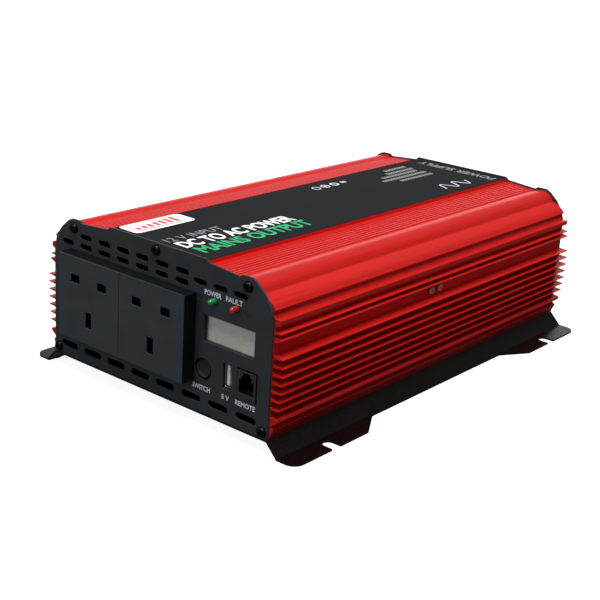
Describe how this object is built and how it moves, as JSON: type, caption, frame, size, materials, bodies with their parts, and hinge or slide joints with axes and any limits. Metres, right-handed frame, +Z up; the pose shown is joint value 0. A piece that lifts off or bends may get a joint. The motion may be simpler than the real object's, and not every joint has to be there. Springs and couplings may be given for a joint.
{
  "type": "power inverter",
  "caption": "Finned aluminium case power inverter with a twin mains socket outlet, display, switch and ports at the front, fan and hand-knob terminals at the rear.",
  "frame": {"origin": "on the surface that the feet stand on, under the middle of the whole box", "axes": "+Z up, -Y out of the front panel with the sockets, +Y out of the rear panel with the terminals, +X to the right of a person facing the front panel"},
  "size_m": [0.2074, 0.3322, 0.0953],
  "materials": {
    "bare_aluminium": "bare aluminium bar",
    "black_base": "black powder coat on folded steel",
    "black_moulding": "black phenolic moulding",
    "black_panel": "fine texture slate black powder coat on steel",
    "black_screws": "black zinc steel screws",
    "blue_wire": "blue wire insulation",
    "bright_steel": "bright nickel plated steel",
    "brown_wire": "brown wire insulation",
    "button_plastic": "black moulded button",
    "capacitor_sleeve": "dark shrink sleeve",
    "circuit_board": "green solder mask on glass epoxy board",
    "clear_window": "clear acrylic window",
    "contact_brass": "pressed brass",
    "copper_wire": "enamelled or bare copper",
    "epoxy_body": "black epoxy package",
    "fan_plastic": "black glass filled fan moulding",
    "ferrite": "dark grey ferrite",
    "fuse_plastic": "amber fuse body",
    "gold_contacts": "gold plated spring contacts",
    "green_led": "green tinted epoxy lamp",
    "green_wire": "green and yellow wire insulation",
    "inner_plastic": "black moulded plastic",
    "jack_plastic": "black or dark grey moulded jack",
    "label_film": "satin dark grey printed film",
    "lcd_glass": "grey green liquid crystal glass",
    "red_case": "glossy red anodised and lacquered aluminium extrusion",
    "red_led": "red tinted epoxy lamp",
    "red_moulding": "red phenolic moulding",
    "shutter_plastic": "dark moulded nylon",
    "socket_abs": "slate black moulded plastic",
    "stud_brass": "machined brass",
    "white_plastic": "white moulded insulator",
    "winding_tape": "yellow polyester tape over copper winding",
    "zinc_screws": "bright zinc plated steel"
  },
  "bodies": {
    "chassis": {"case_extrusion": "red_case", "base_plate": "black_base", "front_panel": "black_panel", "rear_panel": "black_panel", "top_label": "label_film", "front_screws": "black_screws", "rear_screws": "black_screws", "base_screws": "black_screws", "band_screws": "zinc_screws", "socket_face_left": "socket_abs", "socket_face_right": "socket_abs", "socket_backs": "inner_plastic", "socket_contacts": "contact_brass", "lcd_frame": "inner_plastic", "lcd_window": "clear_window", "lcd_display": "lcd_glass", "power_led": "green_led", "fault_led": "red_led", "button_switch": "inner_plastic", "usb_shell": "bright_steel", "usb_tongue": "white_plastic", "remote_jack": "jack_plastic", "remote_contacts": "gold_contacts", "display_pcb": "circuit_board", "display_screws": "black_screws", "display_spacers": "zinc_screws", "main_pcb": "circuit_board", "pcb_standoffs": "contact_brass", "pcb_screws": "zinc_screws", "transformer_cores": "ferrite", "transformer_windings": "winding_tape", "input_capacitors": "capacitor_sleeve", "bus_capacitors": "capacitor_sleeve", "transistors": "epoxy_body", "clamp_bars": "bare_aluminium", "band_transistors": "epoxy_body", "choke_core": "ferrite", "choke_winding": "copper_wire", "fuses": "fuse_plastic", "control_pcb": "circuit_board", "wire_live": "brown_wire", "wire_neutral": "blue_wire", "wire_earth": "green_wire", "busbars": "copper_wire", "fan_frame": "fan_plastic", "fan_stator": "copper_wire", "fan_guard": "bright_steel", "fan_screws": "black_screws", "terminal_negative": "black_moulding", "terminal_positive": "red_moulding", "terminal_studs": "stud_brass", "earth_stud": "zinc_screws"},
    "power_button": {"power_button": "button_plastic"},
    "shutter_left": {"shutter_left": "shutter_plastic"},
    "shutter_right": {"shutter_right": "shutter_plastic"},
    "fan_rotor": {"fan_rotor": "fan_plastic"},
    "washer_negative": {"washer_negative": "zinc_screws"},
    "washer_positive": {"washer_positive": "zinc_screws"},
    "knob_negative": {"knob_negative": "black_moulding"},
    "knob_positive": {"knob_positive": "red_moulding"}
  },
  "joints": [
    {"name": "power_button_press", "type": "slide", "parent": "chassis", "child": "power_button", "axis": [0, 1, 0], "range_m": [0, 0.0018], "stiffness_N_per_m": 1200, "springref_m": -0.0006},
    {"name": "shutter_left_slide", "type": "slide", "parent": "chassis", "child": "shutter_left", "axis": [0, 0, 1], "range_m": [0, 0.0062], "stiffness_N_per_m": 120, "springref_m": -0.004},
    {"name": "shutter_right_slide", "type": "slide", "parent": "chassis", "child": "shutter_right", "axis": [0, 0, 1], "range_m": [0, 0.0062], "stiffness_N_per_m": 120, "springref_m": -0.004},
    {"name": "fan_spin", "type": "hinge", "parent": "chassis", "child": "fan_rotor", "pos_m": [-0.044, 0.1271, 0.046], "axis": [0, 1, 0], "continuous": true},
    {"name": "washer_negative_slide", "type": "slide", "parent": "chassis", "child": "washer_negative", "axis": [0, 1, 0], "range_m": [0, 0.01]},
    {"name": "knob_negative_spin", "type": "hinge", "parent": "washer_negative", "child": "knob_negative", "pos_m": [0.02, 0.1571, 0.044], "axis": [0, 1, 0], "range_deg": [0, 2881]},
    {"name": "washer_positive_slide", "type": "slide", "parent": "chassis", "child": "washer_positive", "axis": [0, 1, 0], "range_m": [0, 0.01]},
    {"name": "knob_positive_spin", "type": "hinge", "parent": "washer_positive", "child": "knob_positive", "pos_m": [0.058, 0.1571, 0.044], "axis": [0, 1, 0], "range_deg": [0, 2881]}
  ],
  "couplings": [
    {"joint": "knob_negative_spin", "follows": "washer_negative_slide", "rad_per_m": 5026.5},
    {"joint": "knob_positive_spin", "follows": "washer_positive_slide", "rad_per_m": 5026.5}
  ]
}
